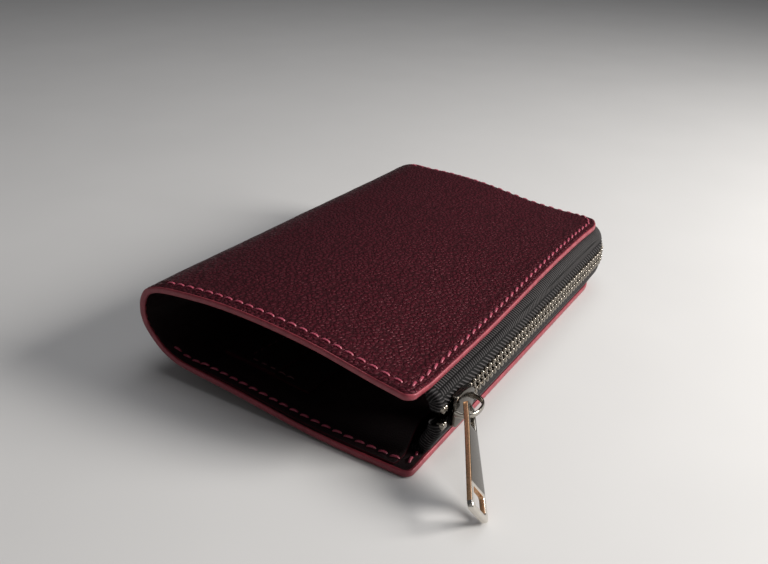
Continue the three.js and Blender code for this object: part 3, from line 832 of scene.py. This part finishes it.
# ---- zip --------------------------------------------------------------------
def along(s, d):
    s, d = np.broadcast_arrays(np.asarray(s, float), np.asarray(d, float))
    a = np.clip((s - S1) / CORNER_R, 0, math.pi / 2)
    arc_x = COVER_W - CORNER_R + (CORNER_R + d) * np.cos(a)
    arc_y = S1 + (CORNER_R + d) * np.sin(a)
    x = np.where(s <= S1, COVER_W + d, np.where(s <= S2, arc_x, COVER_W - CORNER_R - (s - S2)))
    y = np.where(s <= S1, s, np.where(s <= S2, arc_y, COVER_L + d))
    return x, y


def out_dir(s):
    a = np.clip((np.asarray(s, float) - S1) / CORNER_R, 0, math.pi / 2)
    return np.stack([np.cos(a), np.sin(a), 0 * a], -1)


def lining_z(side, x, y):
    yy = min(COVER_L, max(0.0, float(y)))
    us = np.linspace(0, 1, 500)
    p, _ = half(side, us, yy, LIN1)
    xs, zs = p[:, 0], p[:, 2]
    return float(np.interp(x, xs[::-1], zs[::-1]) if side == "back" else np.interp(x, xs, zs))


TOOTH_HALF = 2.25       # half width of the closed chain


def tape_profile(side, s):
    up = -1 if side == "front" else 1

    def at(d):
        x, y = along(s, d)
        lim = float(edge_x(min(float(y), COVER_L))) - 0.01
        return lining_z(side, min(float(x), lim), float(y)) + up * (TAPE_T / 2 + 0.12)
    z_edge = at(-0.4)
    z_clip = CHAIN_Z - up * (TOOTH_HALF + 1.7)
    z_end = CHAIN_Z - up * (TOOTH_HALF - 0.55)
    z1 = z_edge + up * 0.62
    if side == "back":      # the lower tape stands up from the leather, so the painted edge shows below it
        return np.array([[-5, at(-5)], [-3.6, at(-3.6)], [-2.2, at(-2.2)], [-1.2, at(-1.2)], [-0.55, z_edge + 0.12], [0.05, z_edge + 0.95], [0.85, z_edge + 2.6], [1.75, z_edge + 4.3], [2.35, z_clip - 0.5], [CHAIN_OUT, z_clip + (z_end - z_clip) * 0.45], [CHAIN_OUT, z_end]])
    return np.array([[-5, at(-5)], [-3.6, at(-3.6)], [-2.2, at(-2.2)], [-0.9, at(-0.9)], [-0.2, z_edge + up * 0.05], [0.85, z1], [1.85, z1 + (z_clip - z1) * 0.36], [CHAIN_OUT - 0.05, z_clip], [CHAIN_OUT, z_clip + (z_end - z_clip) * 0.5], [CHAIN_OUT, z_end]])


def resample(p, n):
    m = len(p)
    t = np.linspace(0, m - 1, 240)
    i = np.minimum(t.astype(int), m - 2)
    f = (t - i)[:, None]
    q = lambda k: p[np.clip(k, 0, m - 1)]
    a, b, c, d = q(i - 1), q(i), q(i + 1), q(i + 2)
    v0, v1 = (c - a) / 2, (d - b) / 2
    r = (2 * b - 2 * c + v0 + v1) * f**3 + (-3 * b + 3 * c - 2 * v0 - v1) * f**2 + v0 * f + b
    L = np.r_[0, np.cumsum(np.linalg.norm(np.diff(r, axis=0), axis=1))]
    k = np.linspace(0, L[-1], n)
    return np.stack([np.interp(k, L, r[:, 0]), np.interp(k, L, r[:, 1])], 1), k


COMB, STROKE = 0.84, 1.4          # pitch of the fine ribs by the leather, and of the strokes by the teeth


def ribs(s, qq):
    """Height 0 to 1 of the woven tape's ribs; qq is the distance from the toothed edge."""
    comb = 0.5 + 0.5 * np.cos(2 * math.pi * (s / COMB + 0.16 * qq))
    comb2 = 0.5 + 0.5 * np.cos(2 * math.pi * (s / COMB - 0.30 * qq))
    stroke = 0.5 + 0.5 * np.cos(2 * math.pi * (s + 1.45 * qq) / STROKE)
    stroke = stroke ** 1.2
    a = smooth(2.75, 2.95, qq)
    b = smooth(4.35, 4.5, qq)
    h = stroke * (1 - a) + a * (1 - b) * comb2 + b * comb
    seam = np.exp(-(((qq - 2.85) / 0.10) ** 2)) + np.exp(-(((qq - 4.42) / 0.08) ** 2))
    cord = np.exp(-(((qq - 1.55) / 0.42) ** 2))       # the cord that the teeth are clamped on
    return h * (1 - 0.8 * np.clip(seam, 0, 1)), cord


def tape(side, name, node):
    NQ = 42
    coarse = np.r_[np.linspace(7.0, S1, 16), np.linspace(S1, S2, 11)[1:], np.linspace(S2, S3, 9)[1:]]
    profs, qs = [], []
    for s in coarse:
        p, k = resample(tape_profile(side, s), NQ)
        profs.append(p)
        qs.append(k)
    profs, qs = np.array(profs), np.array(qs)
    # the near end is turned in and back on itself
    fold = []
    for s in np.arange(12.4, 8.0, -0.16):
        fold.append((s, 2.5))
    for tau in np.linspace(math.pi, 0, 18):
        fold.append((8.0 - 1.05 * math.sin(tau), 1.25 * (1 - math.cos(tau))))
    ss = [f[0] for f in fold] + list(np.arange(8.16, S3, 0.16)) + [S3]
    sh = [f[1] for f in fold] + [0.0] * (len(ss) - len(fold))
    ss, sh = np.array(ss), np.array(sh)
    run = np.r_[0, np.cumsum(np.hypot(np.diff(ss), np.diff(sh)))]
    run = run - run[len(fold) - 1] + 8.0
    P = np.empty((len(ss), NQ, 2))
    Q = np.empty((len(ss), NQ))
    for j in range(NQ):
        for c in range(2):
            P[:, j, c] = np.interp(ss, coarse, profs[:, j, c])
        Q[:, j] = np.interp(ss, coarse, qs[:, j])
    T = np.gradient(P, axis=1)
    T /= np.linalg.norm(T, axis=2)[..., None]
    Nn = np.stack([-T[..., 1], T[..., 0]], -1)      # one face's side in (d, z)
    S = np.repeat(ss[:, None], NQ, 1)
    R = np.repeat(run[:, None], NQ, 1)
    QQ = Q[:, -1:] - Q
    rib, cord = ribs(R, QQ)
    # on the turned-in end the ribs lie the other way
    turn = smooth(9.3, 8.3, R)
    rib = rib * (1 - turn) + turn * (0.5 + 0.5 * np.cos(2 * math.pi * (QQ / 0.74 + 0.22 * R)))
    h = (0.27 * rib + 0.08 * cord) * smooth(0.3, 1.0, QQ)
    # the layer that is turned in lies inside: shift it along its own normal and squash it under the leather
    sgn = 1.0 if side == "back" else -1.0          # which way of Nn points to the inside of the wallet
    shift = np.repeat(sh[:, None], NQ, 1)
    free = smooth(3.4, 6.2, Q)
    shift = shift * (0.26 + 0.74 * free)
    base = P + Nn * (sgn * shift)[..., None]
    # the tape's two faces either side of its middle, raised by the ribs and the cord
    a = base + Nn * (TAPE_T / 2 - 0.15 + h)[..., None]
    b = base - Nn * (TAPE_T / 2 - 0.15 + h)[..., None]

    def place(g):
        x, y = along(S, g[..., 0])
        return np.stack([x, y, g[..., 1]], -1)
    A, B = place(a), place(b)
    if side == "back":
        A[..., 2], B[..., 2] = np.maximum(A[..., 2], LIN1 + 0.02), np.maximum(B[..., 2], LIN1 + 0.02)
    pts, f = slab(A, B)
    uv = np.stack([R / 100, Q / 100], -1).reshape(-1, 2)
    ob = make(name, pts, f, TAPE, np.r_[uv, uv + 0.013], sharp=75)
    at = ob.data.attributes.new("Rib", "FLOAT", "POINT")
    # the stored rib height is lowered by a quarter near the leather edge, so the tape is coloured darker there:
    # painted shade under the leather
    v = rib.reshape(-1) * (1 - 0.25 * smooth(6.5, 8.0, QQ).reshape(-1))
    at.data.foreach_set("value", np.r_[v, v].astype(np.float32))
    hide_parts(node)
    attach(ob, side)
    return ob


def tooth_mesh():
    """One tooth in (along the chain, outwards, towards its tape): a clamped root, a waist, and a head with a raised bead."""
    rows = [(0.16, 0.20, 0.42), (0.20, 0.33, 0.70), (0.32, 0.43, 0.94), (0.50, 0.46, 1.08), (0.70, 0.44, 1.11), (0.90, 0.37, 0.97), (1.08, 0.36, 0.86), (1.28, 0.46, 0.94), (1.62, 0.52, 1.04), (1.96, 0.50, 1.02), (2.16, 0.42, 0.92), (2.26, 0.26, 0.74)]
    rings = []
    for z, a, b in rows:
        ring = []
        for k in range(16):
            t = 2 * math.pi * k / 16
            c, s = math.cos(t), math.sin(t)
            ring.append((a * math.copysign(abs(c) ** 0.75, c), b * math.copysign(abs(s) ** 0.8, s), z))
        rings.append(ring)
    return sweep(None, np.array(rings))


def teeth(side, name, node, body):
    up = 1 if side == "front" else -1
    tp, tf = tooth_mesh()
    parts = []
    s = TEETH_START + (0.0 if side == "front" else 1.0)
    while s < S3 - 2.6:
        x, y = along(s, CHAIN_OUT)
        o = out_dir(s)
        t = np.array([-o[1], o[0], 0.0])
        p = np.array([float(x), float(y), CHAIN_Z])
        parts.append((p + tp[:, :1] * t + tp[:, 1:2] * o + tp[:, 2:] * np.array([0, 0, up]), tf))
        s += 2.0
    pts, f = join(parts)
    ob = make(name, pts, f, TEETH, sharp=50)
    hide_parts(node)
    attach(ob, body)
    return ob


def rounded_block(name, s0, s1, d0, d1, z0, z1, node, body, notch=True):
    """A crimped metal stop: a rounded clip, pinched in the middle."""
    n = 15
    rings = []
    for i in range(n):
        t = i / (n - 1)
        q = abs(2 * t - 1)
        k = (1 - q**6) ** 0.4 if q < 1 else 0.35
        k = max(0.45, k)
        pinch = 1 - 0.12 * math.exp(-(((t - 0.5) / 0.12) ** 2)) if notch else 1
        hz, hd = (z1 - z0) / 2 * k, (d1 - d0) / 2 * k * pinch
        ring = []
        for j in range(20):
            a = 2 * math.pi * j / 20
            c, s = math.cos(a), math.sin(a)
            dd = (d0 + d1) / 2 + hd * math.copysign(abs(c) ** 0.6, c)
            zz = (z0 + z1) / 2 + hz * math.copysign(abs(s) ** 0.6, s)
            x, y = along(s0 + (s1 - s0) * t, dd)
            ring.append((float(x), float(y), zz))
        rings.append(ring)
    pts, f = sweep(None, np.array(rings))
    ob = make(name, pts, f, TEETH, sharp=50)
    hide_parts(node)
    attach(ob, body)
    return ob


# ---- slider and puller --------------------------------------------------------
def plate(outlines, thickness, bevel, res=3):
    """Bevelled plate from closed outlines (first the outer one), centred on z=0. Returns points, faces."""
    cu = bpy.data.curves.new("tmp", "CURVE")
    cu.dimensions = "2D"
    cu.fill_mode = "BOTH"
    cu.extrude = thickness / 2 - bevel
    cu.bevel_depth = bevel
    cu.bevel_resolution = res
    cu.offset = -bevel
    for o in outlines:
        sp = cu.splines.new("POLY")
        sp.points.add(len(o) - 1)
        for q, (x, y) in zip(sp.points, o):
            q.co = (x, y, 0, 1)
        sp.use_cyclic_u = True
    ob = bpy.data.objects.new("tmp", cu)
    bpy.context.scene.collection.objects.link(ob)
    dg = bpy.context.evaluated_depsgraph_get()
    me = bpy.data.meshes.new_from_object(ob.evaluated_get(dg))
    bm = bmesh.new()
    bm.from_mesh(me)
    bmesh.ops.remove_doubles(bm, verts=bm.verts, dist=0.004)
    pts = np.array([v.co[:] for v in bm.verts], float)
    faces = [tuple(v.index for v in f.verts) for f in bm.faces]
    bm.free()
    bpy.data.objects.remove(ob)
    bpy.data.curves.remove(cu)
    bpy.data.meshes.remove(me)
    return pts, faces


def rounded(poly, radii, seg=6):
    """Polygon with its corners rounded."""
    out = []
    n = len(poly)
    for i in range(n):
        p0, p1, p2 = (np.array(poly[(i + k) % n], float) for k in (-1, 0, 1))
        a, b = p0 - p1, p2 - p1
        la, lb = np.linalg.norm(a), np.linalg.norm(b)
        r = min(radii[i] if hasattr(radii, "__len__") else radii, 0.48 * la, 0.48 * lb)
        if r < 1e-3:
            out.append(tuple(p1))
            continue
        s, e = p1 + a / la * r, p1 + b / lb * r
        for k in range(seg + 1):
            t = k / seg
            out.append(tuple((1 - t) ** 2 * s + 2 * t * (1 - t) * p1 + t * t * e))
    return out


def to_space(pts, ex, ey, ez, o):
    return np.asarray(o) + pts[:, :1] * np.asarray(ex) + pts[:, 1:2] * np.asarray(ey) + pts[:, 2:] * np.asarray(ez)


YZX = (np.array([0, 1.0, 0]), np.array([0, 0, 1.0]), np.array([1.0, 0, 0]))


def slider():
    a, h = SLIDER_LEN / 2, SLIDER_HALF_W
    ch = CHAIN_T / 2 + 0.15
    body = rounded([(-a, -h + 1.0), (-a + 1.0, -h), (0.2, -h), (a - 1.5, -h + 1.0), (a, -h + 2.3), (a, h - 2.3), (a - 1.5, h - 1.0), (0.2, h), (-a + 1.0, h), (-a, h - 1.0), (-a + 0.25, 0.6), (-a + 0.25, -0.6)], [0.9, 1.2, 3.0, 1.6, 1.3, 1.3, 1.6, 3.0, 1.2, 0.9, 0.8, 0.8])
    parts = []
    for x0 in (SX + ch, SX - ch - PLATE_T):
        p, f = plate([body], PLATE_T, 0.2)
        # the plates are slightly domed
        bulge = 0.10 * (1 - (p[:, 0] / a) ** 2) * (1 - (p[:, 1] / h) ** 2)
        outward = 1 if x0 > SX else -1
        p[:, 2] += np.where(p[:, 2] * outward > 0.1, outward * np.maximum(bulge, 0), 0)
        parts.append((to_space(p, *YZX, (x0 + PLATE_T / 2, SLIDER_Y, CHAIN_Z)), f))
    # flanges turned in along both sides, leaving the slit for the tape
    flange = [(-a + 0.75, h - 0.06), (0.3, h - 0.06), (a - 1.35, h - 0.95), (a - 1.9, h - 1.35), (0.1, h - 0.80), (-a + 0.75, h - 0.80)]
    slit = TAPE_T / 2 + 0.3
    for sg in (1, -1):
        o = rounded([(x, y * sg) for x, y in flange], 0.3, 4)
        for x0, x1 in ((SX + slit, SX + ch + 0.2), (SX - ch - 0.2, SX - slit)):
            p, f = plate([o], x1 - x0, 0.12, 2)
            parts.append((to_space(p, *YZX, ((x0 + x1) / 2, SLIDER_Y, CHAIN_Z)), f))
    wt = 0.2        # thin enough to run between the two rows of teeth
    web = rounded([(-3.9, 0), (-3.2, -wt / 2), (-1.2, -wt / 2), (-0.6, 0), (-1.2, wt / 2), (-3.2, wt / 2)], 0.05, 3)
    p, f = plate([web], 2 * ch + 0.3, 0.05, 1)
    parts.append((to_space(p, *YZX, (SX, SLIDER_Y, CHAIN_Z)), f))
    pts, f = join(parts)
    # the slider body takes the near-black copy of the nickel: painted dark reflection
    ob = make("zip_slider", pts, f, NICKEL_PAINTED_DARK_REFLECTION, sharp=45)
    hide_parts("slider_body")
    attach(ob, "slider")

    # crown: a rounded strap that arches over the outer plate
    x0 = SX + ch + PLATE_T + 0.03
    ho, top = 4.2, 85.12
    th = np.linspace(-math.pi / 2, math.pi / 2, 21)
    ex = 2.0 / 2.35
    prof = [(ho * math.copysign(abs(math.sin(q)) ** ex, math.sin(q)), x0 + (top - x0) * abs(math.cos(q)) ** ex) for q in th]
    prof = [(-ho, x0 - 0.28)] + prof + [(ho, x0 - 0.28)]
    c, _ = resample(np.array(prof), 46)
    t = np.gradient(c, axis=0)
    t /= np.linalg.norm(t, axis=1)[:, None]
    nn = np.stack([-t[:, 1], t[:, 0]], 1)
    rings = []
    for i in range(len(c)):
        ring = []
        foot = 1 + 0.35 * math.exp(-((min(i, len(c) - 1 - i) / 3.0) ** 2))
        for j in range(16):
            al = 2 * math.pi * j / 16
            cc, sn = math.cos(al), math.sin(al)
            u = 0.33 * math.copysign(abs(cc) ** 0.75, cc)
            v = 0.66 * foot * math.copysign(abs(sn) ** 0.75, sn)
            yy = c[i, 0] + nn[i, 0] * u
            xx = c[i, 1] + nn[i, 1] * u
            ring.append((xx, SLIDER_Y + yy, CHAIN_Z + v))
        rings.append(ring)
    pts, f = sweep(None, np.array(rings))
    ob = make("slider_bridge", pts, f, NICKEL, sharp=50)
    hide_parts("slider_crown")
    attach(ob, "slider")


def quad(p0, c, p1, n=6):
    return [tuple((1 - t) ** 2 * np.array(p0) + 2 * t * (1 - t) * np.array(c) + t * t * np.array(p1)) for t in np.linspace(0, 1, n)]


def puller():
    d = np.array([0.50, -0.775, -0.385])
    d /= np.linalg.norm(d)
    hint = np.array([0.25, 0.47, -0.846])
    e = hint - d * (hint @ d)
    e /= np.linalg.norm(e)
    n = np.cross(e, d)
    L = PULL_LEN
    o = [(-1.35, -0.5), (1.35, -0.5)] + quad((1.35, -0.5), (2.05, -0.5), (2.15, 0.4))[1:]
    o += quad((2.15, 0.4), (2.22, 3.2), (2.4, 6.0), 5)[1:] + quad((2.4, 6.0), (3.3, 14.5), (4.2, L - 1.6), 9)[1:]
    o += quad((4.2, L - 1.6), (4.32, L), (2.9, L), 8)[1:]
    o += [(-x, y) for x, y in reversed(o[2:])]
    hole = lambda hw, y0, y1, hw2, r: rounded([(-hw, y0), (hw, y0), (hw2, y1), (-hw2, y1)], r, 5)
    pts, f = plate([o[1:], hole(1.48, 0.5, 5.2, 1.62, 0.55), hole(2.7, 19.35, 23.2, 2.95, 0.75)], PULL_T, 0.24, 4)
    ob = make("zip_puller", to_space(pts, e, d, n, PIVOT), f, [NICKEL_PAINTED_DARK_REFLECTION, NICKEL_EDGE_PAINTED_WARM_REFLECTION, NICKEL_PAINTED_HIGHLIGHT], sharp=40)
    o3 = Vector(row(PIVOT))
    # side faces take the copper copy, a painted warm reflection, except at the tip and beside the top slot, where they
    # take the lighter copy, a painted highlight; the faces keep the near-black copy, a painted dark reflection
    for q in ob.data.polygons:
        side_face = abs(float(q.normal @ Vector(n))) < 0.55
        down = float((q.center - o3) @ Vector(d)) * 1000
        across = abs(float((q.center - o3) @ Vector(e))) * 1000
        if side_face:
            q.material_index = 2 if down > L - 1.9 or (down < 6.0 and across < 1.75) else 1
        # the faces past the lower slot take the lighter copy: painted highlight
        elif down > 18.6:
            q.material_index = 2
    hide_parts("puller")
    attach(ob, "puller")


# ---- build --------------------------------------------------------------------
cover_leather()
cover_lining()
painted_edge()
seams()
pockets()
tape("back", "zip_tape_lower_woven", "zip_tape_lower")
tape("front", "zip_tape_upper_woven", "zip_tape_upper")
teeth("back", "zip_teeth_lower_row", "zip_teeth_lower", "back")
teeth("front", "zip_teeth_upper_row", "zip_teeth_upper", "front")
stop_in, stop_out = CHAIN_OUT - 0.95, CHAIN_OUT + 0.95
rounded_block("top_stop_upper_clip", 7.6, 9.7, stop_in, stop_out, CHAIN_Z + 1.2, CHAIN_Z + CHAIN_HALF, "top_stop_upper", "front")
rounded_block("top_stop_lower_clip", 7.6, 9.7, stop_in, stop_out, CHAIN_Z - CHAIN_HALF, CHAIN_Z - 1.2, "top_stop_lower", "back")
rounded_block("bottom_stop_clip", S3 - 2.2, S3 - 0.2, stop_in, stop_out, CHAIN_Z - CHAIN_HALF, CHAIN_Z + 0.2, "bottom_stop", "back")
slider()
puller()

# ---- floor, light, camera -------------------------------------------------------
def floor():
    me = bpy.data.meshes.new("floor")
    k = 9.0
    me.from_pydata([(-k, -k, -0.00005), (k, -k, -0.00005), (k, k, -0.00005), (-k, k, -0.00005)], [], [(0, 1, 2, 3)])
    g = Nodes("floor_plain", Specular_IOR_Level=0.3)
    f = g.noise(g.coords(1.0), 0.02, 2.0)
    g.done(g.mix(f, (0.62, 0.615, 0.61), (0.66, 0.655, 0.65)), g.math("MULTIPLY_ADD", f, 0.05, 0.6))
    me.materials.append(g.m)
    ob = bpy.data.objects.new("floor", me)
    bpy.context.scene.collection.objects.link(ob)


floor()


def area(name, place, target, size, power, color=(1, 1, 1), size_y=None):
    li = bpy.data.lights.new(name, "AREA")
    li.energy = power
    li.color = color
    li.shape = "RECTANGLE" if size_y else "SQUARE"
    li.size = size
    if size_y:
        li.size_y = size_y
    ob = bpy.data.objects.new(name, li)
    ob.location = place
    ob.rotation_euler = (Vector(target) - Vector(place)).to_track_quat("-Z", "Y").to_euler()
    bpy.context.scene.collection.objects.link(ob)
    return ob


area("key", (0.46, 0.17, 0.25), (0.0, 0.0, 0.01), 0.22, 4.9, (1.0, 0.97, 0.93))
area("top_soft", (0.06, 0.14, 0.85), (0.0, 0.0, 0.0), 0.7, 2.5, (0.98, 0.98, 1.0))
area("front_fill", (0.05, -0.80, 0.45), (0.0, 0.0, 0.0), 0.6, 0.25, (1.0, 0.95, 0.90))

world = bpy.data.worlds.new("studio")
world.use_nodes = True
world.node_tree.nodes["Background"].inputs[0].default_value = (0.86, 0.88, 0.92, 1)
world.node_tree.nodes["Background"].inputs[1].default_value = 0.075
bpy.context.scene.world = world

cam = bpy.data.cameras.new("view")
cam.sensor_fit = "HORIZONTAL"
cam.sensor_width = 36.0
cam.lens = 800.0 * 36.0 / 768.0
cam.clip_start = 0.01
cam.clip_end = 20.0
cam_ob = bpy.data.objects.new("view", cam)
right = Vector((0.84600746, 0.53261934, 0.024249))
up = Vector((-0.25332698, 0.36153069, 0.89728535))
fwd = Vector((-0.46914477, 0.76525303, -0.44078451))
m = Matrix.Identity(4)
for i in range(3):
    m[i][0], m[i][1], m[i][2] = right[i], up[i], -fwd[i]
eye = row([140.5275, -115.5446, 110.5665])
for i in range(3):
    m[i][3] = eye[i]
cam_ob.matrix_world = m
bpy.context.scene.collection.objects.link(cam_ob)
bpy.context.scene.camera = cam_ob

bpy.context.scene.view_settings.view_transform = "Standard"
